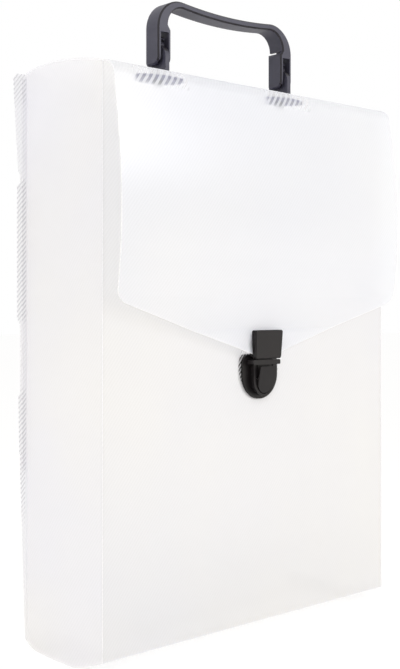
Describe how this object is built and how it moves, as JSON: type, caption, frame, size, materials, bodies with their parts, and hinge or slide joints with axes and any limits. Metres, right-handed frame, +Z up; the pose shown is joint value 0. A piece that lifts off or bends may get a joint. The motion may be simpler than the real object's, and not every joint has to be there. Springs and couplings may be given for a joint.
{
  "type": "plastic briefcase",
  "caption": "Tall translucent plastic sheet briefcase with an arched top, a bowed front flap, a push-button lock and a folding black strap handle.",
  "frame": {"origin": "on the floor plane, on the flat of the bottom panel, under the middle of the body's width and depth", "axes": "+X to the right along the width as seen from the front, +Y towards the back, +Z up"},
  "size_m": [0.2594, 0.091, 0.3891],
  "materials": {
    "frosted_sheet": "frosted translucent sheet with fine diagonal ribs",
    "lock_plastic": "fine matt black moulding",
    "handle_plastic": "satin blue-grey black moulding",
    "plate_plastic": "matt dark moulding"
  },
  "bodies": {
    "case_body": {"front_panel": "frosted_sheet", "back_panel": "frosted_sheet", "bottom_panel": "frosted_sheet", "side_panel_left": "frosted_sheet", "side_panel_right": "frosted_sheet", "bottom_glue_flap_left": "frosted_sheet", "bottom_glue_flap_right": "frosted_sheet", "lock_housing": "lock_plastic", "lock_backing": "lock_plastic", "lock_rivets": "lock_plastic"},
    "top": {"top_panel": "frosted_sheet", "handle_post_left": "handle_plastic", "handle_post_right": "handle_plastic", "base_plate_left": "plate_plastic", "base_plate_right": "plate_plastic"},
    "flap": {"flap": "frosted_sheet", "tongue_plate": "lock_plastic", "catch_plate": "lock_plastic", "tongue_rivets": "lock_plastic"},
    "handle": {"handle_grip": "handle_plastic", "hinge_pin_left": "handle_plastic", "hinge_pin_right": "handle_plastic"},
    "button": {"lock_button": "lock_plastic"}
  },
  "joints": [
    {"name": "top_crease", "type": "hinge", "parent": "case_body", "child": "top", "pos_m": [0, 0.03775, 0.3415], "axis": [-1, 0, 0], "range_deg": [0, 180]},
    {"name": "flap_crease", "type": "hinge", "parent": "top", "child": "flap", "pos_m": [0, -0.0379, 0.3375], "axis": [-1, 0, 0], "range_deg": [0, 150]},
    {"name": "handle_swing", "type": "hinge", "parent": "top", "child": "handle", "pos_m": [0, -0.00485, 0.3628], "axis": [1, 0, 0], "range_deg": [-90, 55]},
    {"name": "button_press", "type": "hinge", "parent": "case_body", "child": "button", "pos_m": [0, -0.04095, 0.1524], "axis": [-1, 0, 0], "range_deg": [0, 8], "stiffness_Nm_per_rad": 0.2, "springref_deg": -5.73}
  ]
}
